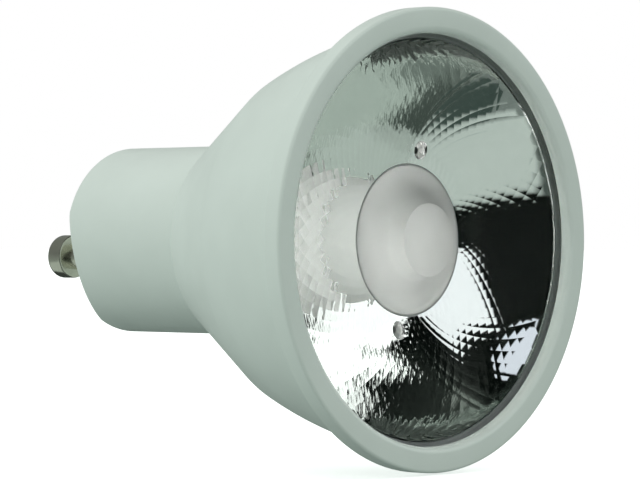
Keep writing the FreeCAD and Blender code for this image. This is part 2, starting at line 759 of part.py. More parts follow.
def bent_leg(across, face, way, height):
    """A leg that leaves a part along the board and turns down to it."""
    turn = face + way * (LEAD_REACH - LEAD_RADIUS)
    points = [Vector(across, face - way * LEAD_RADIUS, height), Vector(across, turn, height),
              Vector(across, turn, BOARD_TOP)]
    return bent_wire(points, 2 * LEAD_RADIUS, LEAD_RADIUS)


def bulk_capacitor():
    """The smoothing capacitor, lying along the board."""
    height = BOARD_TOP + SEAT_GAP + BULK_CAN_RADIUS
    front = BULK_CAN_PLACE - BODY_LENGTH
    body = can(BULK_CAN_RADIUS, BULK_CAN_LENGTH).translated(Vector(BULK_CAN_ACROSS, front, height))
    leads = [bent_leg(BULK_CAN_ACROSS + side * BULK_CAN_RADIUS / 2, front, -1, height) for side in (-1, 1)]
    return on_board(body.fuse(leads))


def output_capacitor():
    """The smaller capacitor, standing on the board."""
    body = stood(can(OUTPUT_CAN_RADIUS, OUTPUT_CAN_LENGTH), OUTPUT_CAN_ACROSS, OUTPUT_CAN_PLACE)
    spread = OUTPUT_CAN_RADIUS / 2
    feet = [(OUTPUT_CAN_ACROSS + side * spread, OUTPUT_CAN_PLACE) for side in (-1, 1)]
    return on_board(body.fuse(legs(feet, BOARD_TOP + 2 * CAN_EDGE_ROUND)))


def inductor_part(*corners):
    """A turned part of the inductor, stood up at its place on the board."""
    shape = turned_corners(*corners).translated(Vector(0, BODY_LENGTH, 0))
    return on_board(stood(shape, CORE_ACROSS, CORE_PLACE))


def inductor_core():
    """The ferrite drum, standing on the board."""
    edge = CORE_FLANGE_THICKNESS / 6
    return inductor_part(
        (0, 0, 0),
        (CORE_FLANGE_RADIUS, 0, edge),
        (CORE_FLANGE_RADIUS, CORE_FLANGE_THICKNESS, 0),
        (CORE_POST_RADIUS, CORE_FLANGE_THICKNESS, 0),
        (CORE_POST_RADIUS, CORE_HEIGHT - CORE_FLANGE_THICKNESS, 0),
        (CORE_FLANGE_RADIUS, CORE_HEIGHT - CORE_FLANGE_THICKNESS, 0),
        (CORE_FLANGE_RADIUS, CORE_HEIGHT, edge),
        (0, CORE_HEIGHT, 0),
    )


def inductor_winding():
    """The copper winding, drawn as its outer form between the drum's flanges."""
    low = CORE_FLANGE_THICKNESS + WINDING_CLEARANCE
    high = CORE_HEIGHT - CORE_FLANGE_THICKNESS - WINDING_CLEARANCE
    edge = (WINDING_RADIUS - CORE_POST_RADIUS) / 3
    return inductor_part(
        (CORE_POST_RADIUS + WINDING_CLEARANCE, low, 0),
        (WINDING_RADIUS, low, edge),
        (WINDING_RADIUS, high, edge),
        (CORE_POST_RADIUS + WINDING_CLEARANCE, high, 0),
    )


def film_capacitor():
    """The boxed film capacitor behind the drum."""
    block = box(FILM_ACROSS, FILM_PLACE, BOARD_TOP + SEAT_GAP, FILM_WIDTH, FILM_LENGTH, FILM_HEIGHT)
    top = [edge for edge in block.Edges if edge.BoundBox.ZMin > BOARD_TOP + FILM_HEIGHT / 2]
    block = block.makeFillet(FILM_ROUND, top)
    middle = FILM_PLACE + FILM_LENGTH / 2
    feet = [(FILM_ACROSS, middle + side * FILM_LEG_PITCH / 2) for side in (-1, 1)]
    return on_board(block.fuse(legs(feet, BOARD_TOP + FILM_HEIGHT / 4)))


def fusible_resistor():
    """The fuse resistor, held above the board by its bent legs."""
    height = BOARD_TOP + FUSE_STANDOFF + FUSE_RADIUS
    front = FUSE_PLACE - BODY_LENGTH
    body = turned_corners(
        (0, 0, 0),
        (FUSE_RADIUS, 0, FUSE_ROUND),
        (FUSE_RADIUS, FUSE_CAP, 0),
        (FUSE_WAIST, FUSE_CAP + FUSE_NECK, 0),
        (FUSE_WAIST, FUSE_LENGTH - FUSE_CAP - FUSE_NECK, 0),
        (FUSE_RADIUS, FUSE_LENGTH - FUSE_CAP, 0),
        (FUSE_RADIUS, FUSE_LENGTH, FUSE_ROUND),
        (0, FUSE_LENGTH, 0),
    ).translated(Vector(FUSE_ACROSS, front + BODY_LENGTH, height))
    leads = [bent_leg(FUSE_ACROSS, front, -1, height),
             bent_leg(FUSE_ACROSS, front + FUSE_LENGTH, 1, height)]
    return on_board(body.fuse(leads))


def flat_package(across, depth, width, length, thickness, leg_count):
    """A moulded package under the board, with gull legs along its two long sides."""
    body = box(across, depth, BOARD_HEIGHT - PACKAGE_STANDOFF - thickness, width, length, thickness)
    pieces = []
    pitch = length / leg_count
    for side in (-1, 1):
        for number in range(leg_count):
            middle = depth + pitch * (number + 0.5) - LEG_WIDTH / 2
            foot = across + side * (width / 2 + LEG_FOOT / 2 - LEG_THICKNESS / 2)
            pieces.append(box(foot, middle, BOARD_HEIGHT - LEG_THICKNESS, LEG_FOOT + LEG_THICKNESS, LEG_WIDTH,
                              LEG_THICKNESS))
            riser = across + side * width / 2
            pieces.append(box(riser, middle, BOARD_HEIGHT - thickness / 2, 2 * LEG_THICKNESS, LEG_WIDTH,
                              thickness / 2))
    return on_board(body.fuse(pieces))


def bridge_rectifier():
    """The input rectifier, under the board."""
    return flat_package(RECTIFIER_ACROSS, BOARD_BACK_DEPTH - RECTIFIER_BACK_GAP, RECTIFIER_WIDTH,
                        RECTIFIER_LENGTH, RECTIFIER_THICKNESS, 2)


def driver_chip():
    """The eight-legged control chip, under the board."""
    return flat_package(CHIP_ACROSS, BOARD_FRONT_DEPTH + CHIP_FRONT_GAP, CHIP_WIDTH, CHIP_LENGTH,
                        CHIP_THICKNESS, 4)


def sense_resistors():
    """Chip resistors side by side, under the board."""
    chips = []
    for number in range(RESISTOR_COUNT):
        across = RESISTOR_ACROSS + RESISTOR_PITCH * (number - (RESISTOR_COUNT - 1) / 2)
        chips.append(box(across, BOARD_FRONT_DEPTH + RESISTOR_FRONT_GAP, BOARD_HEIGHT - RESISTOR_THICKNESS,
                         RESISTOR_WIDTH, RESISTOR_LENGTH, RESISTOR_THICKNESS))
    return on_board(Part.makeCompound(chips))


def pin_lead(side):
    """The short wire from a pin's tail down to the board."""
    tail = END_WALL_DEPTH - PIN_RIVET_LENGTH - PIN_TAIL_LENGTH - BODY_LENGTH
    across = side * PIN_SPACING / 2
    turn = tail - PIN_LEAD_REACH
    points = [Vector(across, tail, 0), Vector(across, turn, 0), Vector(across, turn, BOARD_TOP)]
    return on_board(bent_wire(points, 2 * LEAD_RADIUS, LEAD_RADIUS))


def board_point(across, depth, height):
    """A point given in the driver board's own frame."""
    angle = math.radians(PIN_CLOCK)
    return Vector(across * math.cos(angle) + height * math.sin(angle), depth - BODY_LENGTH,
                  height * math.cos(angle) - across * math.sin(angle))


def supply_wire(side):
    """An insulated wire from the board, through the heat sink, to the emitter board."""
    way = wire_places()[0 if side > 0 else 1]
    across = side * SUPPLY_PAD_ACROSS
    height = BOARD_TOP + WIRE_RADIUS
    turn_depth = (PLATE_BACK_DEPTH + BOARD_FRONT_DEPTH) / 2
    points = [
        board_point(across, BOARD_FRONT_DEPTH + SUPPLY_PAD_REACH, height),
        board_point(across, turn_depth, height),
        place(0, turn_depth) + way,
        place(0, PLATE_DEPTH - PAD_THICKNESS - EMITTER_BOARD_THICKNESS) + way,
    ]
    return bent_wire(points, WIRE_BEND, WIRE_RADIUS)


SUBPARTS = {
    "housing_shell": housing_shell(),
    "bezel_ring": bezel_ring(),
    "optic_lens": optic_lens(),
    "contact_pin_left": contact_pin(-1),
    "contact_pin_right": contact_pin(1),
    "heat_sink": heat_sink(),
    "emitter_holder": emitter_holder(),
    "holder_screws": holder_screws(),
    "emitter_board": emitter_board(),
    "emitter_disc": emitter_disc(),
    "emitter_dam": emitter_dam(),
    "thermal_pad": thermal_pad(),
    "supply_wire_positive": supply_wire(1),
    "supply_wire_negative": supply_wire(-1),
    "driver_board": driver_board(),
    "pin_lead_live": pin_lead(-1),
    "pin_lead_neutral": pin_lead(1),
    "fusible_resistor": fusible_resistor(),
    "bridge_rectifier": bridge_rectifier(),
    "bulk_capacitor": bulk_capacitor(),
    "film_capacitor": film_capacitor(),
    "inductor_core": inductor_core(),
    "inductor_winding": inductor_winding(),
    "driver_chip": driver_chip(),
    "sense_resistors": sense_resistors(),
    "output_capacitor": output_capacitor(),
}

os.makedirs("parts", exist_ok=True)
for node, shape in SUBPARTS.items():
    shape.exportStep(f"parts/{node}.step")
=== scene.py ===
import math

import bpy
import bmesh
from bpy.props import FloatProperty, FloatVectorProperty, IntProperty, PointerProperty
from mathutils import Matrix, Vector


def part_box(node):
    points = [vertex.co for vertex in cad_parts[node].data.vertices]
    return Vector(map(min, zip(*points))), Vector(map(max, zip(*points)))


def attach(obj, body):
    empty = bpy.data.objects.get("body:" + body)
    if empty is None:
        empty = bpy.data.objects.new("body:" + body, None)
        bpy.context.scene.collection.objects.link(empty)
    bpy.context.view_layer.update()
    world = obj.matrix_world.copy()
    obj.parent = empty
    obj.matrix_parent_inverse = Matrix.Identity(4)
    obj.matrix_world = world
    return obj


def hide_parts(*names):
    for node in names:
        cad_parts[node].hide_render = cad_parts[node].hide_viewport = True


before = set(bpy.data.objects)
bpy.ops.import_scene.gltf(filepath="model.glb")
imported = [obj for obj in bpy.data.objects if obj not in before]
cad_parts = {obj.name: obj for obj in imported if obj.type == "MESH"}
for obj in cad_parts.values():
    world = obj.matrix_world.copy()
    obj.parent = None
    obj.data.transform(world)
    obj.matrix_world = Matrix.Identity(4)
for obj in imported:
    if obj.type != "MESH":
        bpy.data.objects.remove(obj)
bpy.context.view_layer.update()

bl_info = {
    "name": "Spotlight bulb",
    "version": (1, 0, 0),
    "blender": (4, 5, 0),
    "location": "3D View > Sidebar > Spotlight bulb",
    "description": "A spotlight bulb with a faceted optic and a twist-lock pin base",
    "category": "Object",
}

# The lamp axis is the Y axis, the beam leaves towards -Y, and the origin is the
# centre of the base's end face. A depth is a distance behind the bezel's front.
BODY_LENGTH = -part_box("bezel_ring")[0][1]

# Points closer than MERGE are one, a cut takes points closer than ON_CUT as lying on it,
# and rings of points lie further apart than SAME_PLACE.
MERGE = 1e-6
ON_CUT = 1e-7
SAME_PLACE = 0.00002

# The two pins, bevels and pegs lie half a turn apart.
SIDES = (0.0, math.pi)

# Edges that turn by fewer degrees than these are shaded smooth.
SMOOTH_ANGLE = 30.0
SHELL_SMOOTH_ANGLE = 24.0

# Two triangles of one facet turn from each other by less than FACET_FLATNESS. The normals
# of facets lean from the axis between these cosines, and those of peg cones further.
FACET_FLATNESS = math.radians(0.4)
FACET_LEAN = (0.5, 0.995)
CONE_LEAN = 0.9

# Steps along the arcs of the outlines
ROUND_STEPS = 5
BEZEL_ROUND_STEPS = 10
PIN_ROUND_STEPS = 7
BELL_STEPS = 24
FLARE_STEPS = 14
CROWN_STEPS = 6

# Play of a pin in its hole and of the optic's flange in the bezel
HOLE_PLAY = 0.00005
FLANGE_PLAY = 0.0001

# The place of the soft lamp above, and the point it is aimed at
LAMP_PLACE = Vector((-0.25, 0.15, 0.55))
LAMP_AIM = Vector((0.0, -0.02, 0.0))

# A noise pattern lies between these values nearly everywhere.
NOISE_RANGE = (0.3, 0.7)


def length(name, description, default):
    """A size in metres that a user can change."""
    return FloatProperty(name=name, description=description, default=default, unit="LENGTH",
                         precision=5, min=0.0)


def angular(name, description, degrees):
    """An angle that a user can change."""
    return FloatProperty(name=name, description=description, default=math.radians(degrees),
                         subtype="ANGLE")


def step_count(description, default):
    """A number of steps round the axis that a user can change."""
    return IntProperty(name="Steps around", description=description, default=default, min=12)


def tint(name, description, default):
    """A colour that a user can change."""
    return FloatVectorProperty(name=name, description=description, default=default,
                               subtype="COLOR", size=3, min=0.0, max=1.0)


class HousingSettings(bpy.types.PropertyGroup):
    """Sizes and colour of the plastic housing."""
    wall: length("Wall", "Thickness of the moulded wall", 0.0014)
    neck_radius: length("Neck radius", "Radius of the round neck", 0.0107)
    shoulder_radius: length("Shoulder radius", "Radius of the bell where it meets the neck", 0.0115)
    shoulder_depth: length("Shoulder depth", "Where the bell meets the neck", 0.0296)
    shoulder_round: length("Shoulder round", "Rounding of the shoulder's edge", 0.00035)
    crease_radius: length("Crease radius", "Radius of the bell at its soft crease", 0.019222)
    crease_depth: length("Crease depth", "Where the bell's curve turns into a cone", 0.017)
    mouth_radius: length("Mouth radius", "Radius of the bell at the bezel", 0.0232)
    mouth_depth: length("Mouth depth", "Where the bell meets the bezel", 0.0022)
    bell_arc: length("Bell curve", "Radius of the bell's curve along its length", 0.055)
    end_wall: length("End wall", "Thickness of the base's end wall", 0.0018)
    end_round: length("End round", "Rounding of the base's edge", 0.0006)
    bevel_start: length("Bevel start", "Where the end's bevels start, from the axis", 0.0076)
    bevel_angle: angular("Bevel angle", "Slope of the end's bevels", 27.0)
    around: step_count("Steps of the turned surface", 288)
    colour: tint("Plastic", "Colour of the white plastic", (0.745, 0.785, 0.755))


class BezelSettings(bpy.types.PropertyGroup):
    """Sizes of the ring that closes the bell's mouth."""
    radius: length("Radius", "Outer radius of the ring", 0.025)
    edge_round: length("Edge round", "Rounding of the front edge", 0.0004)
    opening_radius: length("Opening radius", "Radius of the opening", 0.0222)
    inner_round: length("Inner round", "Rounding from the face into the opening", 0.00075)
    lip_depth: length("Lip depth", "Depth of the lip over the optic", 0.0012)
    back_round: length("Back round", "Rounding of the back edge", 0.00025)


class PinSettings(bpy.types.PropertyGroup):
    """Sizes and colour of the contact pins."""
    spacing: length("Spacing", "Distance between the two pins", 0.01)
    clock: angular("Clock", "Turn of the pins round the lamp axis", -22.8)
    around: step_count("Steps of the turned surface", 96)
    reach: length("Reach", "How far a pin stands out of the base", 0.0072)
    head_radius: length("Head radius", "Radius of a pin's head", 0.0025)
    head_length: length("Head length", "Length of a pin's head", 0.0024)
    tip_round: length("Tip round", "Rounding of the tip", 0.0007)
    back_round: length("Back round", "Rounding of the head's back edge", 0.00025)
    stem_radius: length("Stem radius", "Radius of the stem", 0.0015)
    rivet_radius: length("Rivet radius", "Radius of the riveted end inside", 0.0021)
    rivet_length: length("Rivet length", "Length of the riveted end", 0.0005)
    tail_radius: length("Tail radius", "Radius of the tail inside", 0.001)
    tail_length: length("Tail length", "Length of the tail", 0.0022)
    colour: tint("Nickel", "Colour of the plated metal", (0.58, 0.57, 0.49))


class OpticSettings(bpy.types.PropertyGroup):
    """Sizes and colours of the faceted optic."""
    front_depth: length("Front depth", "Depth of the optic's flat front", 0.0012)
    flange_radius: length("Flange radius", "Radius of the flange under the bezel", 0.0226)
    flange_depth: length("Flange back", "Depth of the flange's back", 0.00217)
    back_depth: length("Back depth", "Depth of the optic's back", 0.00778)
    facets: IntProperty(name="Facets around", description="Facets in each ring", default=68, min=8)
    inner_radius: length("Inner radius", "Radius of the innermost facet corners", 0.0083)
    outer_radius: length("Outer radius", "Largest radius of the facets", 0.0218)
    rim_depth: length("Rim depth", "Depth of the bowl at its rim", 0.0025)
    arc_radius: length("Bowl curve", "Radius of the bowl's curve", 0.085)
    swell: FloatProperty(name="Swell", default=0.0021, min=0.0, max=0.01, precision=5,
                         description="Rise of a facet's middle, as a share of its distance out")
    post_radius: length("Post radius", "Radius of the hollow post's end", 0.00397)
    post_depth: length("Post depth", "Depth of the hollow post's end", 0.002)
    crown_rise: length("Crown rise", "Rise of the post's domed end", 0.0005)
    foot_radius: length("Foot radius", "Radius where the post starts to flare", 0.0044)
    foot_depth: length("Foot depth", "Depth where the post starts to flare", 0.0054)
    flare_radius: length("Flare radius", "Radius half way along the flare", 0.0057)
    flare_depth: length("Flare depth", "Depth half way along the flare", 0.007)
    dish_radius: length("Dish radius", "Radius of the hollow's open end", 0.00807)
    peg_circle: length("Peg circle", "Distance of the locating pegs from the axis", 0.0099)
    peg_radius: length("Peg radius", "Radius of a locating peg", 0.001)
    peg_tip: length("Peg tip", "Radius of a peg's tip", 0.0004)
    peg_length: length("Peg length", "Length of a peg each way", 0.001)
    peg_clock: angular("Peg clock", "Turn of the pegs round the axis", 10.4)
    around: step_count("Steps of the round surfaces", 204)
    mirror: tint("Mirror", "Colour of the mirrored facets", (0.88, 0.90, 0.88))
    frost: tint("Frost", "Colour of the frosted hollow", (0.80, 0.81, 0.795))


class StageSettings(bpy.types.PropertyGroup):
    """The camera, the floor and the studio light."""
    camera_distance: length("Camera distance", "From the camera to the bezel", 0.350)
    camera_turn: angular("Camera turn", "Turn of the camera off the axis", 49.0)
    camera_aim: angular("Camera aim", "How far the camera aims off the bezel", 2.107)
    lens: FloatProperty(name="Lens", description="Focal length on a 36 mm sensor",
                        default=183.5, unit="CAMERA")
    floor_drop: length("Floor drop", "How far the floor lies below the lamp axis", 0.0252)
    floor_size: length("Floor size", "Width of the floor", 12.0)
    lamp_size: length("Lamp size", "Width of the soft lamp above", 0.6)
    lamp_power: FloatProperty(name="Lamp power", description="Power of the soft lamp above",
                              default=0.25, unit="POWER")


# Modelling by hand

def deselect_all():
    """Leaves edit mode with nothing selected."""
    if bpy.context.mode != "OBJECT":
        close_edit()
    bpy.ops.object.select_all(action="DESELECT")


def make_active(piece):
    """Selects one object alone."""
    deselect_all()
    piece.select_set(True)
    bpy.context.view_layer.objects.active = piece


def edit(piece):
    """Opens one object in edit mode."""
    make_active(piece)
    bpy.ops.object.mode_set(mode="EDIT")


def close_edit():
    """Leaves edit mode."""
    bpy.ops.object.mode_set(mode="OBJECT")


def select_all():
    """Selects the whole mesh, in edit mode."""
    bpy.ops.mesh.select_all(action="SELECT")


def select_by(piece, kind, test):
    """Selects the vertices, edges or faces that pass a test, in edit mode."""
    bpy.ops.mesh.select_mode(type=kind)
    bpy.ops.mesh.select_all(action="DESELECT")
    shape = bmesh.from_edit_mesh(piece.data)
    parts = {"VERT": shape.verts, "EDGE": shape.edges, "FACE": shape.faces}[kind]
    found = [part for part in parts if test(part)]
    if not found:
        raise RuntimeError(f"{piece.name}: nothing to select")
    for part in found:
        part.select_set(True)
    bmesh.update_edit_mesh(piece.data)


def added(name):
    """The object that was just added, named."""
    piece = bpy.context.active_object
    piece.name = name
    return piece


def extrude(move):
    """Extrudes what is selected and moves it, in edit mode."""
    bpy.ops.mesh.extrude_region_move(TRANSFORM_OT_translate={"value": move})


def spread(factor, centre=(0, 0, 0)):
    """Resizes what is selected across the lamp axis about a centre, in edit mode."""
    bpy.ops.transform.resize(value=(factor, 1.0, factor), center_override=centre)


def on_axis_plane(radius, depth):
    """The point of a turned outline at a radius and a depth."""
    return Vector((radius, depth - BODY_LENGTH, 0.0))


def polar(point):
    """Radius and depth of a point."""
    return math.hypot(point.x, point.z), point.y + BODY_LENGTH


def near(value, target):
    """Whether two lengths are the same."""
    return abs(value - target) < SAME_PLACE


def lies_at(vert, place):
    """Whether a vertex is at a radius and a depth."""
    return all(near(*pair) for pair in zip(polar(vert.co), place))


def arc_centre(start, end, radius, away):
    """Centre of an arc from start to end, on the side of its chord that faces away."""
    chord = end - start
    across = Vector((-chord.y, chord.x)).normalized()
    if across.dot(away) < 0:
        across = -across
    return (start + end) / 2 + across * math.sqrt(radius ** 2 - (chord.length / 2) ** 2)


def arc_points(centre, start, end, steps):
    """Points along the short arc from start to end about a centre, without the start."""
    radius = (start - centre).length
    turn = (start - centre).angle_signed(end - centre)
    angle = math.atan2(start.y - centre.y, start.x - centre.x)
    points = []
    for step in range(1, steps + 1):
        here = angle - turn * step / steps
        points.append(centre + Vector((math.cos(here), math.sin(here))) * radius)
    return points


def rounded(corners, closed=False, steps=ROUND_STEPS):
    """Points of an outline from corners of (radius, depth, rounding)."""
    points = []
    last = len(corners) - 1
    for index, (radius, depth, rounding) in enumerate(corners):
        corner = Vector((radius, depth))
        if rounding == 0 or (not closed and index in (0, last)):
            points.append(corner)
            continue
        before = (Vector(corners[index - 1][:2]) - corner).normalized()
        after = (Vector(corners[(index + 1) % (last + 1)][:2]) - corner).normalized()
        half = before.angle(after) / 2
        setback = rounding / math.tan(half)
        centre = corner + (before + after).normalized() * (rounding / math.sin(half))
        start = corner + before * setback
        points.append(start)
        points.extend(arc_points(centre, start, corner + after * setback, steps))
    return points


def turned_piece(name, outline, around, closed=False):
    """A turned piece: one vertex is extruded along the outline, which is then spun."""
    deselect_all()
    bpy.ops.mesh.primitive_plane_add(size=0.001)
    piece = added(name)
    bpy.ops.object.mode_set(mode="EDIT")
    select_all()
    bpy.ops.mesh.merge(type="CENTER")
    path = [on_axis_plane(*point) for point in outline]
    if closed:
        path.append(path[0].copy())
    bpy.ops.transform.translate(value=path[0])
    for here, there in zip(path, path[1:]):
        extrude(there - here)
    select_all()
    bpy.ops.mesh.remove_doubles(threshold=MERGE)
    select_all()
    bpy.ops.mesh.spin(steps=around, angle=math.tau, center=(0, 0, 0), axis=(0, 1, 0))
    tidy_mesh()
    close_edit()
    return piece


def tidy_mesh():
    """Merges doubles and turns all faces outwards, in edit mode."""
    select_all()
    bpy.ops.mesh.remove_doubles(threshold=MERGE)
    bpy.ops.mesh.normals_make_consistent(inside=False)


def smooth(piece, degrees=SMOOTH_ANGLE):
    """Smooth shading with sharp edges kept."""
    make_active(piece)
    bpy.ops.object.shade_smooth_by_angle(angle=math.radians(degrees))


def check_closed(piece):
    """Stops the script if the piece has an open edge or faces inwards."""
    shape = bmesh.new()
    shape.from_mesh(piece.data)
    count = sum(1 for edge in shape.edges if len(edge.link_faces) != 2)
    volume = shape.calc_volume(signed=True)
    shape.free()
    if count or volume <= 0:
        raise RuntimeError(f"{piece.name}: {count} open edges, volume {volume}")


def combine(piece, other, operation):
    """Cuts or joins another piece with an applied Boolean modifier, and removes it."""
    make_active(piece)
    modifier = piece.modifiers.new(other.name, "BOOLEAN")
    modifier.operation = operation
    modifier.solver = "EXACT"
    modifier.object = other
    bpy.ops.object.modifier_apply(modifier=modifier.name)
    bpy.data.objects.remove(other)


def rod(name, radius, place, start, end, around=48):
    """A round rod along the lamp axis at (x, z), from one depth to another."""
    deselect_all()
    x, z = place
    middle = (start + end) / 2 - BODY_LENGTH
    bpy.ops.mesh.primitive_cylinder_add(vertices=around, radius=radius, depth=end - start,
                                        location=(x, middle, z),
                                        rotation=(math.radians(90), 0, 0))
    piece = added(name)
    bpy.ops.object.transform_apply(location=True, rotation=True, scale=True)
    return piece


def clock_way(angle, distance):
    """The (x, z) place at a distance from the axis, on the X side, clocked by an angle."""
    return math.cos(angle) * distance, -math.sin(angle) * distance


def cover(piece, *finishes):
    """Gives a piece its materials."""
    piece.data.materials.clear()
    for finish in finishes:
        piece.data.materials.append(finish)


def hand_over(piece, node):
    """The piece rides on the lamp and stands in for a CAD node, which is hidden."""
    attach(piece, "root")
    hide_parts(node)


# Materials

def shade(colour, factor):
    """A colour made lighter or darker."""
    return tuple(min(1.0, channel * factor) for channel in colour)


class Nodes:
    """A node tree under construction."""

    def plug(self, socket, value):
        """Links a socket to the value of another node, or sets it."""
        if isinstance(value, bpy.types.NodeSocket):
            self.tree.links.new(value, socket)
        else:
            socket.default_value = (*value, 1.0) if socket.type == "RGBA" else value

    def fill(self, node, **values):
        """Links or sets the inputs of a node by their names."""
        for name, value in values.items():
            self.plug(node.inputs[name.replace("_", " ")], value)
        return node

    def add(self, kind, **values):
        """A new node with its inputs."""
        return self.fill(self.tree.nodes.new(kind), **values)

    def ramp(self, value, stops):
        """A colour ramp over a value: stops of (position, colour)."""
        node = self.add("ShaderNodeValToRGB", Fac=value)
        elements = node.color_ramp.elements
        while len(elements) < len(stops):
            elements.new(0.5)
        for element, (position, colour) in zip(elements, stops):
            element.position = position
            element.color = (*colour, 1.0)
        return node.outputs["Color"]


class Finish(Nodes):
    """A node material under construction."""

    def __init__(self, name):
        self.material = bpy.data.materials.new(name)
        self.material.use_nodes = True
        self.tree = self.material.node_tree
        self.shader = self.tree.nodes["Principled BSDF"]
        self.place = self.add("ShaderNodeTexCoord").outputs["Object"]

    def set(self, **values):
        """Links or sets the shader's own sockets."""
        self.fill(self.shader, **values)

    def stretched(self, scale):
        """Object coordinates stretched along the axes."""
        return self.add("ShaderNodeMapping", Vector=self.place, Scale=scale).outputs["Vector"]

    def noise(self, scale, detail=3.0, roughness=0.55, place=None):
        """A noise pattern; scale is in cycles a metre."""
        node = self.add("ShaderNodeTexNoise", Vector=place or self.place, Scale=scale,
                        Detail=detail, Roughness=roughness)
        return node.outputs["Fac"]

    def rough(self, noise, low, high):
        """The roughness varies between two numbers."""
        start, end = NOISE_RANGE
        node = self.add("ShaderNodeMapRange", Value=noise, From_Min=start, From_Max=end,
                        To_Min=low, To_Max=high)
        self.set(Roughness=node.outputs["Result"])

    def colour(self, noise, low, high):
        """The base colour varies between two colours."""
        self.set(Base_Color=self.ramp(noise, tuple(zip(NOISE_RANGE, (low, high)))))

    def bump(self, height, strength, distance):
        """The surface is raised by a pattern, by distance metres at the most."""
        node = self.add("ShaderNodeBump", Strength=strength, Distance=distance, Height=height)
        self.set(Normal=node.outputs["Normal"])


def moulded(name, colour, low=0.36, high=0.46, cloudiness=0.03):
    """Satin moulded plastic: a slight cloudiness and a fine tool texture."""
    finish = Finish(name)
    cloud = finish.noise(scale=90.0, detail=4.0)
    grain = finish.noise(scale=2600.0, detail=2.0)
    finish.colour(cloud, shade(colour, 1 - cloudiness), shade(colour, 1 + cloudiness))
    finish.rough(finish.noise(scale=400.0), low, high)
    finish.bump(grain, strength=0.25, distance=0.00001)
    finish.set(IOR=1.5)
    return finish.material


def metal(name, colour, low, high):
    """Worked metal with fine tool lines round the lamp axis."""
    finish = Finish(name)
    rings = finish.stretched((300.0, 9000.0, 300.0))
    lines = finish.noise(scale=1.0, roughness=0.6, place=rings)
    finish.colour(finish.noise(scale=500.0), shade(colour, 0.9), shade(colour, 1.08))
    finish.rough(lines, low, high)
    finish.bump(lines, strength=0.3, distance=0.000004)
    finish.set(Metallic=1.0)
    return finish.material


def mirror_coat(name, colour):
    """The mirrored back of the facets, with a faint haze."""
    finish = Finish(name)
    haze = finish.noise(scale=700.0, detail=4.0)
    finish.colour(haze, shade(colour, 0.985), shade(colour, 1.01))
    finish.rough(finish.noise(scale=1500.0), 0.0, 0.03)
    finish.set(Metallic=1.0)
    return finish.material


def clear_plastic(name):
    """Clear moulded plastic with a faint polish haze."""
    finish = Finish(name)
    haze = finish.noise(scale=900.0, detail=4.0)
    finish.colour(haze, (0.985, 0.99, 0.985), (1.0, 1.0, 1.0))
    finish.rough(finish.noise(scale=1200.0), 0.0, 0.008)
    finish.set(Transmission_Weight=1.0, IOR=1.49)
    return finish.material


def frosted_plastic(name, colour):
    """The silvery frosted face of the hollow, as it looks through the clear plastic."""
    finish = Finish(name)
    finish.colour(finish.noise(scale=350.0, detail=4.0), shade(colour, 0.97), shade(colour, 1.02))
    finish.rough(finish.noise(scale=2500.0, detail=2.0), 0.4, 0.5)
    finish.set(Metallic=0.15)
    return finish.material


# The pieces in view

def circle_meeting(centre, radius, start, way):
    """Where a line leaves a circle."""
    offset = start - centre
    along = offset.dot(way)
    return start + way * (math.sqrt(along ** 2 - offset.dot(offset) + radius ** 2) - along)


def bell_wall(housing, inset):
    """Outline of the bell from its mouth to the cone's small end, moved inwards by inset."""
    mouth = Vector((housing.mouth_radius, housing.mouth_depth))
    crease = Vector((housing.crease_radius, housing.crease_depth))
    shoulder = Vector((housing.shoulder_radius, housing.shoulder_depth))
    centre = arc_centre(mouth, crease, housing.bell_arc, Vector((-1.0, 0.0)))
    radius = housing.bell_arc - inset
    way = (crease - shoulder).normalized()
    start = shoulder + Vector((-abs(way.y), -abs(way.x))) * inset
    turn = circle_meeting(centre, radius, start, way)
    drop = housing.mouth_depth - centre.y
    rim = Vector((centre.x + math.sqrt(radius ** 2 - drop ** 2), housing.mouth_depth))
    return [rim] + arc_points(centre, rim, turn, BELL_STEPS), start, way


class BULB_OT_housing(bpy.types.Operator):
    """Models the white housing: bell, shoulder, neck, bevelled base and pin holes"""
    bl_idname = "bulb.housing"
    bl_label = "Housing"

    def execute(self, context):
        housing = context.scene.bulb_housing
        pins = context.scene.bulb_pins
        outer, shoulder, _ = bell_wall(housing, 0.0)
        inner, start, way = bell_wall(housing, housing.wall)
        bore = housing.neck_radius - housing.wall
        end_inside = BODY_LENGTH - housing.end_wall
        meet = start + way * ((bore - start.x) / way.x)
        outline = [Vector((0.0, end_inside)), Vector((bore, end_inside)), meet]
        outline += list(reversed(inner)) + outer
        outline += rounded([
            (*outer[-1], 0),
            (*shoulder, housing.shoulder_round),
            (housing.neck_radius, housing.shoulder_depth, 0),
            (housing.neck_radius, BODY_LENGTH, housing.end_round),
            (0.0, BODY_LENGTH, 0),
        ])[1:]
        piece = turned_piece("housing", outline, housing.around)
        for side in SIDES:
            self.bevel_end(piece, housing, pins.clock + side)
        for side in SIDES:
            place = clock_way(pins.clock + side, pins.spacing / 2)
            hole = rod("hole", pins.stem_radius + HOLE_PLAY, place,
                       end_inside - housing.end_wall, BODY_LENGTH + housing.end_wall)
            combine(piece, hole, "DIFFERENCE")
        smooth(piece, SHELL_SMOOTH_ANGLE)
        check_closed(piece)
        cover(piece, moulded("white_satin_plastic", tuple(housing.colour)))
        hand_over(piece, "housing_shell")
        return {"FINISHED"}

    def bevel_end(self, piece, housing, clock):
        """Slices off the base's edge beyond one pin."""
        x, z = clock_way(clock, housing.bevel_start)
        slope = housing.bevel_angle
        out_x, out_z = clock_way(clock, math.sin(slope))
        edit(piece)
        select_all()
        bpy.ops.mesh.bisect(plane_co=(x, 0.0, z), plane_no=(out_x, math.cos(slope), out_z),
                            use_fill=True, clear_outer=True, threshold=ON_CUT)
        tidy_mesh()
        close_edit()


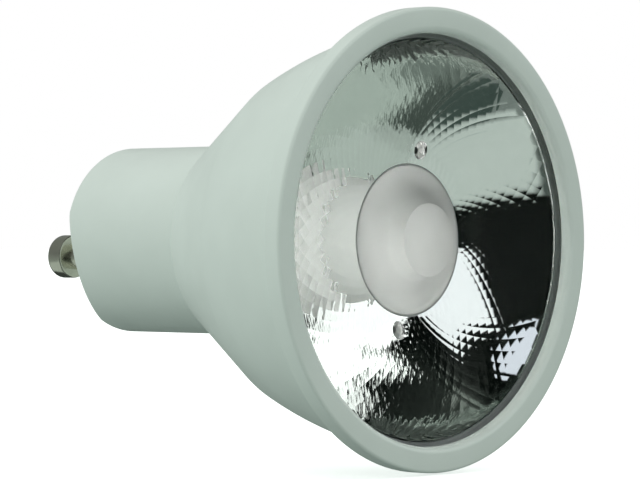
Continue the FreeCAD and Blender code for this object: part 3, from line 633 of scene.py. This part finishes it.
class BULB_OT_bezel(bpy.types.Operator):
    """Models the bezel ring round the optic"""
    bl_idname = "bulb.bezel"
    bl_label = "Bezel"

    def execute(self, context):
        bezel = context.scene.bulb_bezel
        housing = context.scene.bulb_housing
        flange = context.scene.bulb_optic.flange_radius + FLANGE_PLAY
        back = housing.mouth_depth
        outline = rounded([
            (bezel.opening_radius, 0.0, bezel.inner_round),
            (bezel.radius, 0.0, bezel.edge_round),
            (bezel.radius, back, bezel.back_round),
            (flange, back, 0),
            (flange, bezel.lip_depth, 0),
            (bezel.opening_radius, bezel.lip_depth, 0),
        ], closed=True, steps=BEZEL_ROUND_STEPS)
        piece = turned_piece("bezel", outline, housing.around, closed=True)
        smooth(piece, SHELL_SMOOTH_ANGLE)
        check_closed(piece)
        cover(piece, moulded("white_bezel_plastic", tuple(housing.colour), 0.30, 0.40))
        hand_over(piece, "bezel_ring")
        return {"FINISHED"}


class BULB_OT_pins(bpy.types.Operator):
    """Models the two turned contact pins"""
    bl_idname = "bulb.pins"
    bl_label = "Contact pins"

    def execute(self, context):
        pins = context.scene.bulb_pins
        housing = context.scene.bulb_housing
        tip = BODY_LENGTH + pins.reach
        head_back = tip - pins.head_length
        wall_inside = BODY_LENGTH - housing.end_wall
        rivet_back = wall_inside - pins.rivet_length
        outline = rounded([
            (0.0, tip, 0),
            (pins.head_radius, tip, pins.tip_round),
            (pins.head_radius, head_back, pins.back_round),
            (pins.stem_radius, head_back, 0),
            (pins.stem_radius, wall_inside, 0),
            (pins.rivet_radius, wall_inside, 0),
            (pins.rivet_radius, rivet_back, 0),
            (pins.tail_radius, rivet_back, 0),
            (pins.tail_radius, rivet_back - pins.tail_length, 0),
            (0.0, rivet_back - pins.tail_length, 0),
        ], steps=PIN_ROUND_STEPS)
        finish = metal("nickel_plate", tuple(pins.colour), 0.12, 0.24)
        first = turned_piece("pin", outline, pins.around)
        smooth(first)
        second = first.copy()
        second.data = first.data.copy()
        context.scene.collection.objects.link(second)
        for piece, side, turn in ((first, "right", 0.0), (second, "left", math.pi)):
            piece.name = "pin_" + side
            x, z = clock_way(pins.clock + turn, pins.spacing / 2)
            edit(piece)
            select_all()
            bpy.ops.transform.translate(value=(x, 0.0, z))
            close_edit()
            check_closed(piece)
            cover(piece, finish)
            hand_over(piece, "contact_pin_" + side)
        return {"FINISHED"}


def facet_rings(optic):
    """Radius and depth of each ring of facet corners, from the centre outwards.

    A facet has one corner on its inner ring, two on the next and one on the ring after.
    They lie in one plane where the middle of the two is in line with the other corners,
    so each ring follows from the two before it. All corners lie on the bowl's curve.
    """
    inner = Vector((optic.inner_radius, optic.back_depth))
    outer = Vector((optic.outer_radius, optic.rim_depth))
    centre = arc_centre(inner, outer, optic.arc_radius, Vector((0.0, -1.0)))
    shrink = math.cos(math.pi / optic.facets)
    spoke = inner - centre
    sag = optic.inner_radius * (1 - shrink) * abs(spoke.x) / optic.arc_radius
    turn = math.sqrt(2 * optic.arc_radius * sag) / optic.arc_radius
    angle = math.atan2(spoke.x, spoke.y) + turn
    rings = [inner, centre + Vector((math.sin(angle), math.cos(angle))) * optic.arc_radius]
    while True:
        start = rings[-2]
        through = Vector((rings[-1].x * shrink, rings[-1].y)) - start
        reach = -2 * (start - centre).dot(through) / through.dot(through)
        following = start + through * reach
        if following.x > optic.outer_radius:
            return rings
        rings.append(following)


class BULB_OT_optic(bpy.types.Operator):
    """Models the clear optic: flange, mirrored facets, hollow post and pegs"""
    bl_idname = "bulb.optic"
    bl_label = "Faceted optic"

    def execute(self, context):
        optic = context.scene.bulb_optic
        rings = facet_rings(optic)
        piece = self.facets(optic, rings)
        self.flange(piece, optic, rings[-1])
        self.hollow(piece, optic, rings[0])
        edit(piece)
        tidy_mesh()
        close_edit()
        self.pegs(piece, optic)
        smooth(piece)
        self.finish(piece, optic)
        self.swell(piece, optic, rings)
        check_closed(piece)
        hand_over(piece, "optic_lens")
        return {"FINISHED"}

    def facets(self, optic, rings):
        """Rings of a circle are extruded, grown and turned, then joined into flat facets."""
        deselect_all()
        self.add_circle(optic.facets, *rings[0])
        piece = added("optic")
        bpy.ops.object.transform_apply(location=True, rotation=True, scale=True)
        bpy.ops.object.mode_set(mode="EDIT")
        select_all()
        for here, there in zip(rings, rings[1:]):
            self.grow(here, there, math.pi / optic.facets)
        select_all()
        bpy.ops.mesh.quads_convert_to_tris(quad_method="SHORTEST_DIAGONAL")
        bpy.ops.mesh.tris_convert_to_quads(face_threshold=FACET_FLATNESS, shape_threshold=math.pi)
        return piece

    def mirrored(self, optic, face):
        """Whether a face is a facet of the bowl: it leans and is outside the hollow."""
        radius, depth = polar(face.calc_center_median())
        return (FACET_LEAN[0] < face.normal.y < FACET_LEAN[1] and radius > optic.dish_radius
                and optic.flange_depth < depth < optic.back_depth)

    def whole(self, triples, face):
        """Whether a face is a facet with its corners on three rings."""
        places = sorted(polar(vert.co)[0] for vert in face.verts)
        return len(places) == 4 and any(
            all(near(place, ring.x) for place, ring in zip(places, (low, middle, middle, high)))
            for low, middle, high in triples)

    def swell(self, piece, optic, rings):
        """Every whole facet is split in four and raised in the middle, inside sharp edges."""
        triples = list(zip(rings, rings[1:], rings[2:]))
        edit(piece)
        select_by(piece, "EDGE",
                  lambda edge: any(self.mirrored(optic, face) for face in edge.link_faces))
        bpy.ops.mesh.mark_sharp()
        select_by(piece, "FACE", lambda face: self.whole(triples, face))
        corners = {vert.co.copy().freeze() for vert in bmesh.from_edit_mesh(piece.data).verts}
        bpy.ops.mesh.subdivide(number_cuts=1)
        shrink = math.cos(math.pi / optic.facets)
        for low, middle, high in triples:
            radius = (low.x + high.x) / 4 + middle.x * shrink / 2
            depth = (low.y + 2 * middle.y + high.y) / 4
            self.lift(piece, corners, (radius, depth), high - low, optic.swell * radius)
        for low, high in zip(rings, rings[1:]):
            radius = math.sqrt(low.x ** 2 + high.x ** 2 + 2 * low.x * high.x * shrink) / 2
            depth = (low.y + high.y) / 2
            self.lift(piece, corners, (radius, depth), high - low, optic.swell * radius / 2)
        close_edit()

    def lift(self, piece, corners, place, along, rise):
        """Lifts a ring of new points off the bowl."""
        select_by(piece, "VERT", lambda vert: vert.co.copy().freeze() not in corners
                  and lies_at(vert, place))
        away = Vector((-along.y, along.x)).normalized() * rise
        bpy.ops.transform.translate(value=(0.0, away.y, 0.0))
        spread(1 + away.x / place[0])

    def grow(self, here, there, turn=0.0):
        """Extrudes the selected ring to another radius and depth."""
        extrude((0.0, there[1] - here[1], 0.0))
        spread(there[0] / here[0])
        if turn:
            bpy.ops.transform.rotate(value=turn, orient_axis="Y", center_override=(0, 0, 0))

    def add_circle(self, around, radius, depth):
        """Adds a circle about the lamp axis."""
        bpy.ops.mesh.primitive_circle_add(vertices=around, radius=radius,
                                          rotation=(math.radians(90), 0, 0),
                                          location=(0, depth - BODY_LENGTH, 0))

    def select_open(self, piece, *rings):
        """Selects the open edges of rings, each given by its radius and depth."""
        def there(edge):
            return len(edge.link_faces) < 2 and any(
                all(lies_at(vert, ring) for vert in edge.verts) for ring in rings)
        select_by(piece, "EDGE", there)

    def flange(self, piece, optic, rim):
        """The bowl's rim rises to the flange, which ends in the flat front."""
        neck = (rim.x, optic.flange_depth)
        back = (optic.flange_radius, optic.flange_depth)
        self.select_open(piece, rim)
        self.grow(rim, neck)
        self.add_circle(optic.around, *back)
        self.bridge(piece, neck, back)
        self.select_open(piece, back)
        self.grow(back, (optic.flange_radius, optic.front_depth))
        bpy.ops.mesh.edge_face_add()

    def bridge(self, piece, first, second):
        """Fills the flat gap between two open rings of different steps."""
        self.select_open(piece, first, second)
        bpy.ops.mesh.fill(use_beauty=False)

    def hollow(self, piece, optic, inner):
        """The trumpet-shaped hollow inside the post."""
        dish = (optic.dish_radius, optic.back_depth)
        self.add_circle(optic.around, *dish)
        self.bridge(piece, tuple(inner), dish)
        foot = Vector((optic.foot_radius, optic.foot_depth))
        flare = Vector((optic.flare_radius, optic.flare_depth))
        outline = self.three_point_arc(Vector(dish), flare, foot, FLARE_STEPS)
        outline.append(Vector((optic.post_radius, optic.post_depth)))
        crown = optic.post_depth - optic.crown_rise
        for step in range(1, CROWN_STEPS):
            share = step / CROWN_STEPS
            outline.append(Vector((optic.post_radius * (1 - share),
                                   crown + optic.crown_rise * (1 - share) ** 2)))
        self.select_open(piece, dish)
        here = Vector(dish)
        for there in outline:
            self.grow(here, there)
            here = there
        extrude((0.0, crown - here.y, 0.0))
        bpy.ops.mesh.merge(type="CENTER")

    def three_point_arc(self, start, middle, end, steps):
        """Points of the arc through three points, without the start."""
        first = middle - start
        second = end - start
        cross = 2 * (first.x * second.y - first.y * second.x)
        x = (second.y * first.length_squared - first.y * second.length_squared) / cross
        y = (first.x * second.length_squared - second.x * first.length_squared) / cross
        return arc_points(start + Vector((x, y)), start, end, steps)

    def pegs(self, piece, optic):
        """Two locating pegs are joined to the bowl."""
        for side in SIDES:
            angle = optic.peg_clock + side
            place = (math.sin(angle) * optic.peg_circle, math.cos(angle) * optic.peg_circle)
            tip = optic.back_depth + optic.peg_length
            cone = optic.peg_radius - optic.peg_tip
            peg = rod("peg", optic.peg_radius, place, optic.back_depth - optic.peg_length, tip - cone)
            edit(peg)
            select_by(peg, "FACE", lambda face: near(polar(face.calc_center_median())[1], tip - cone))
            extrude((0.0, cone, 0.0))
            spread(optic.peg_tip / optic.peg_radius, (place[0], tip - BODY_LENGTH, place[1]))
            combine(piece, peg, "UNION")

    def frosted(self, optic, face):
        """Whether a face is in the hollow or on a peg's cone."""
        radius, depth = polar(face.calc_center_median())
        in_hollow = radius < optic.dish_radius and depth > optic.front_depth + SAME_PLACE
        on_peg_cone = depth > optic.back_depth + optic.peg_tip / 2 and face.normal.y < CONE_LEAN
        return in_hollow or on_peg_cone

    def finish(self, piece, optic):
        """Clear plastic, with a mirror coat on the facets and frosting in the hollow."""
        cover(piece, clear_plastic("clear_plastic"), mirror_coat("mirror_coat", tuple(optic.mirror)),
              frosted_plastic("frosted_plastic", tuple(optic.frost)))
        edit(piece)
        for slot, test in enumerate((lambda face: True,
                                     lambda face: self.mirrored(optic, face),
                                     lambda face: self.frosted(optic, face))):
            select_by(piece, "FACE", test)
            piece.active_material_index = slot
            bpy.ops.object.material_slot_assign()
        close_edit()


# The parts inside

def inner_finishes():
    """The finish of every CAD node that stays in view of an opened lamp."""
    white = (0.78, 0.80, 0.77)
    return {
        "heat_sink": metal("drawn_aluminium", (0.62, 0.63, 0.64), 0.35, 0.5),
        "emitter_holder": moulded("holder_plastic", white),
        "holder_screws": metal("steel", (0.5, 0.5, 0.5), 0.25, 0.4),
        "emitter_board": moulded("white_ceramic", (0.8, 0.8, 0.78), 0.5, 0.65),
        "emitter_disc": moulded("phosphor", (0.80, 0.62, 0.16), 0.45, 0.6, 0.06),
        "emitter_dam": moulded("milky_silicone", (0.82, 0.82, 0.80), 0.3, 0.45),
        "thermal_pad": moulded("grey_pad", (0.45, 0.46, 0.47), 0.6, 0.75, 0.08),
        "supply_wire_positive": moulded("red_insulation", (0.45, 0.03, 0.02)),
        "supply_wire_negative": moulded("black_insulation", (0.02, 0.02, 0.022)),
        "driver_board": moulded("green_laminate", (0.03, 0.16, 0.07), 0.3, 0.5, 0.15),
        "pin_lead_live": metal("tinned_copper_live", (0.7, 0.69, 0.66), 0.2, 0.35),
        "pin_lead_neutral": metal("tinned_copper_neutral", (0.7, 0.69, 0.66), 0.2, 0.35),
        "fusible_resistor": moulded("resistor_lacquer", (0.10, 0.22, 0.16), 0.3, 0.45, 0.1),
        "bridge_rectifier": moulded("black_package", (0.02, 0.02, 0.02), 0.45, 0.6, 0.2),
        "bulk_capacitor": moulded("black_sleeve", (0.03, 0.035, 0.05), 0.2, 0.35, 0.1),
        "output_capacitor": moulded("dark_sleeve", (0.02, 0.03, 0.07), 0.2, 0.35, 0.1),
        "film_capacitor": moulded("red_brown_dip", (0.45, 0.10, 0.04), 0.2, 0.35, 0.06),
        "inductor_core": moulded("ferrite", (0.035, 0.035, 0.04), 0.5, 0.7, 0.2),
        "inductor_winding": metal("enamelled_copper", (0.65, 0.25, 0.10), 0.2, 0.4),
        "driver_chip": moulded("black_epoxy", (0.018, 0.018, 0.02), 0.45, 0.6, 0.2),
        "sense_resistors": moulded("resistor_ceramic", (0.03, 0.03, 0.035), 0.3, 0.5, 0.2),
    }


class BULB_OT_inside(bpy.types.Operator):
    """Gives the light source, heat sink and driver board their finishes"""
    bl_idname = "bulb.inside"
    bl_label = "Inner parts"

    def execute(self, context):
        for name, material in inner_finishes().items():
            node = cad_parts[name]
            if not node.material_slots:
                node.data.materials.append(material)
            for slot in node.material_slots:
                slot.material = material
        return {"FINISHED"}


# The stage

class Sky(Nodes):
    """The studio as it is seen in reflections, by direction.

    A turn is from -Y towards -X and a height up from level, both in degrees. Some masks
    go by the path: few or many mirror bounces, and light scattered by the frosted hollow.
    """

    def __init__(self, world):
        world.use_nodes = True
        self.tree = world.node_tree
        self.tree.nodes.clear()
        coords = self.add("ShaderNodeTexCoord")
        x, y, z = self.add("ShaderNodeSeparateXYZ", Vector=coords.outputs["Generated"]).outputs
        self.depth = y
        self.height = self.math("MULTIPLY", self.math("ARCSINE", z), 180 / math.pi)
        back = self.math("ARCTAN2", self.math("MULTIPLY", x, -1.0), self.math("MULTIPLY", y, -1.0))
        self.turn = self.math("MULTIPLY", back, 180 / math.pi)
        path = self.add("ShaderNodeLightPath").outputs
        self.seen = path["Is Camera Ray"]
        self.matt = path["Is Diffuse Ray"]
        self.many = self.math("GREATER_THAN", path["Glossy Depth"], 2.5)
        self.few = self.math("SUBTRACT", 1.0, self.many)
        self.mirrored = self.math("GREATER_THAN", path["Glossy Depth"], 0.5)
        self.straight = self.math("SUBTRACT", 1.0, self.mirrored)
        self.frosted = self.math("MULTIPLY", self.window(path["Transmission Depth"], 0.5, 2.5, 0.1),
                                 self.math("GREATER_THAN", path["Diffuse Depth"], 0.5))
        self.light = None

    def math(self, operation, *values):
        """A Math node."""
        node = self.add("ShaderNodeMath")
        node.operation = operation
        for socket, value in zip(node.inputs, values):
            self.plug(socket, value)
        return node.outputs["Value"]

    def step(self, value, start, end):
        """Nought before start, one after end, smooth between."""
        node = self.add("ShaderNodeMapRange", Value=value, From_Min=start, From_Max=end)
        node.interpolation_type = "SMOOTHSTEP"
        return node.outputs["Result"]

    def window(self, value, low, high, soft):
        """One between low and high, with soft edges."""
        rise = self.step(value, low - soft, low + soft)
        fall = self.step(value, high - soft, high + soft)
        return self.math("MULTIPLY", rise, self.math("SUBTRACT", 1.0, fall))

    def slanted(self, slope):
        """The height plus a share of the turn, in degrees."""
        return self.math("ADD", self.height, self.math("MULTIPLY", self.turn, slope))

    def gradient(self, *stops):
        """A colour by height: stops of (degrees, colour)."""
        share = self.math("DIVIDE", self.math("ADD", self.height, 90.0), 180.0)
        return self.ramp(share, [((height + 90.0) / 180.0, colour) for height, colour in stops])

    def mix(self, mask, first, second):
        """The second colour where the mask is, and the first elsewhere."""
        node = self.add("ShaderNodeMix")
        node.data_type = "RGBA"
        self.fill(node, Factor=mask)
        colours = {socket.name: socket for socket in node.inputs if socket.type == "RGBA"}
        self.plug(colours["A"], first)
        self.plug(colours["B"], second)
        return next(socket for socket in node.outputs if socket.type == "RGBA")

    def paint(self, mask, colour):
        """Another colour where the mask is."""
        self.light = self.mix(mask, self.light, colour)

    def panel(self, turn, height, soft, colour, *masks):
        """Another colour in a range of turn and height, as far as the masks let it show."""
        mask = self.window(self.turn, *turn, soft)
        for other in (self.window(self.height, *height, soft), *masks):
            mask = self.math("MULTIPLY", mask, other)
        self.paint(mask, colour)

    def leant(self, light, lean):
        """A light that grows towards the back of the scene."""
        share = self.math("ADD", self.math("MULTIPLY", self.depth, lean), 1.0)
        node = self.add("ShaderNodeVectorMath")
        node.operation = "SCALE"
        return self.fill(node, Vector=light, Scale=share).outputs["Vector"]

    def finish(self, backdrop, soft):
        """The backdrop is plain, matt surfaces get the soft light, and the rest is the studio."""
        self.paint(self.seen, backdrop)
        shader = self.add("ShaderNodeBackground", Color=self.mix(self.matt, self.light, soft))
        self.add("ShaderNodeOutputWorld", Surface=shader.outputs["Background"])


class BULB_OT_stage(bpy.types.Operator):
    """Sets the camera, the plain floor and the soft studio light"""
    bl_idname = "bulb.stage"
    bl_label = "Stage"

    def execute(self, context):
        stage = context.scene.bulb_stage
        context.scene.view_settings.view_transform = "Standard"
        cycles = context.scene.cycles
        cycles.max_bounces = cycles.glossy_bounces = cycles.transmission_bounces = 32
        self.camera(context, stage)
        self.floor(stage)
        self.sky(context)
        self.lamp(stage)
        return {"FINISHED"}

    def camera(self, context, stage):
        """The camera stands in front of the lamp, turned off its axis."""
        deselect_all()
        turn = stage.camera_turn
        place = Vector((-math.sin(turn), -math.cos(turn), 0.0)) * stage.camera_distance
        place.y -= BODY_LENGTH
        bpy.ops.object.camera_add(location=place,
                                  rotation=(math.radians(90), 0.0, stage.camera_aim - turn))
        camera = added("camera")
        camera.data.lens = stage.lens
        camera.data.sensor_width = 36.0
        camera.data.clip_start = 0.01
        context.scene.camera = camera

    def floor(self, stage):
        """A plain pale floor just under the bezel."""
        deselect_all()
        bpy.ops.mesh.primitive_plane_add(size=stage.floor_size, location=(0, 0, -stage.floor_drop))
        floor = added("floor")
        finish = Finish("floor_paper")
        finish.colour(finish.noise(3.0), (0.93, 0.93, 0.93), (0.95, 0.95, 0.95))
        finish.rough(finish.noise(40.0), 0.85, 0.95)
        finish.set(Emission_Color=(1.0, 1.0, 1.0), Emission_Strength=0.55, Specular_IOR_Level=0.0)
        floor.data.materials.append(finish.material)
        floor.visible_glossy = False
        floor.visible_transmission = False
        floor.visible_diffuse = False

    def sky(self, context):
        """A pale table below, a large soft box above the front, and a dark room beyond."""
        world = bpy.data.worlds.new("studio")
        context.scene.world = world
        sky = Sky(world)
        table = (0.52, 0.60, 0.555)
        dark = (0.002, 0.003, 0.0025)
        glare = (2.0, 2.05, 2.05)
        sky.light = sky.gradient(
            (-90, (0.17, 0.20, 0.185)), (-55, (0.19, 0.23, 0.21)), (-50, table), (-22, table),
            (-17, (0.30, 0.35, 0.32)), (10, (0.20, 0.22, 0.21)), (90, (0.26, 0.28, 0.26)))
        # The shade under the table, and past its two sides
        sky.panel((-78, -5), (-70, -54), 1.5, (0.05, 0.075, 0.065), sky.few)
        sky.panel((-90, 0), (-76, -50), 3.0, (0.46, 0.53, 0.49), sky.many)
        sky.panel((28, 80), (-60, -15), 5.0, (0.07, 0.09, 0.08))
        sky.panel((-180, -98), (-75, -8), 4.0, (0.05, 0.06, 0.055))
        # The dark room, and in it the soft box with its two slanted upper edges
        sky.panel((-95, 48), (-18, 89), 1.5, dark)
        sky.panel((-92, 4), (6, 47), 1.5, (1.42, 1.46, 1.46))
        sky.panel((-92, 7), (6, 54), 1.5, (1.05, 1.11, 1.13), sky.few)
        right = sky.step(sky.slanted(0.42), 39.2, 40.4)
        left = sky.step(sky.slanted(-0.447), 64.2, 65.4)
        sky.panel((-96, 12), (26, 62), 1.0, dark, sky.math("MAXIMUM", left, right), sky.few)
        # A slanted window beside the box, and the lights as many bounces show them
        between = sky.window(sky.slanted(0.87), 51.5, 74.0, 1.0)
        sky.panel((-2, 30), (33, 57), 1.0, (0.82, 0.88, 0.97), between, sky.few)
        sky.panel((-10, 30), (22, 40.5), 2.0, glare, sky.many)
        sky.panel((-60, -14), (44, 58), 2.0, glare, sky.many)
        # The side light on the frosted hollow
        sky.paint(sky.frosted, (0.06, 0.065, 0.06))
        sky.panel((28, 150), (-80, 85), 8.0, (7.0, 7.15, 7.0), sky.mirrored, sky.frosted)
        sky.panel((36, 130), (-80, 2), 8.0, (12.0, 12.2, 11.8), sky.straight, sky.frosted)
        soft = sky.gradient(
            (-70, (0.0, 0.0, 0.0)), (-40, (0.27, 0.35, 0.31)), (-20, (0.52, 0.62, 0.57)),
            (0, (0.77, 0.865, 0.81)), (20, (0.88, 0.965, 0.915)), (50, (0.83, 0.895, 0.855)),
            (90, (0.73, 0.785, 0.75)))
        sky.finish((1.0, 1.0, 1.0), sky.leant(soft, 0.3))
        world.cycles.sampling_method = "NONE"

    def lamp(self, stage):
        """One large soft lamp above, aimed at the middle of the bulb."""
        deselect_all()
        way = (LAMP_AIM - LAMP_PLACE).to_track_quat("-Z", "Y")
        bpy.ops.object.light_add(type="AREA", location=LAMP_PLACE, rotation=way.to_euler())
        lamp = added("top_softbox")
        lamp.data.size = stage.lamp_size
        lamp.data.energy = stage.lamp_power
        lamp.visible_glossy = False


class BULB_PT_panel(bpy.types.Panel):
    """Lists the pieces of the spotlight bulb"""
    bl_label = "Spotlight bulb"
    bl_idname = "BULB_PT_panel"
    bl_space_type = "VIEW_3D"
    bl_region_type = "UI"
    bl_category = "Spotlight bulb"

    def draw(self, context):
        for group in GROUPS:
            settings = getattr(context.scene, group)
            box = self.layout.box()
            box.label(text=group.replace("bulb_", "").capitalize())
            for name in settings.bl_rna.properties.keys():
                if name not in ("rna_type", "name"):
                    box.prop(settings, name)
        for operator in OPERATORS:
            self.layout.operator(operator.bl_idname)


GROUPS = {
    "bulb_housing": HousingSettings,
    "bulb_bezel": BezelSettings,
    "bulb_pins": PinSettings,
    "bulb_optic": OpticSettings,
    "bulb_stage": StageSettings,
}
OPERATORS = (BULB_OT_stage, BULB_OT_housing, BULB_OT_bezel, BULB_OT_pins, BULB_OT_optic, BULB_OT_inside)


CLASSES = (*GROUPS.values(), *OPERATORS, BULB_PT_panel)


def register():
    for item in CLASSES:
        bpy.utils.register_class(item)
    for group, settings in GROUPS.items():
        setattr(bpy.types.Scene, group, PointerProperty(type=settings))


def unregister():
    for group in GROUPS:
        delattr(bpy.types.Scene, group)
    for item in reversed(CLASSES):
        bpy.utils.unregister_class(item)


def main():
    """Builds the bulb and its stage."""
    register()
    bpy.ops.bulb.stage()
    bpy.ops.bulb.housing()
    bpy.ops.bulb.bezel()
    bpy.ops.bulb.pins()
    bpy.ops.bulb.optic()
    bpy.ops.bulb.inside()
    deselect_all()


if __name__ == "__main__":
    main()
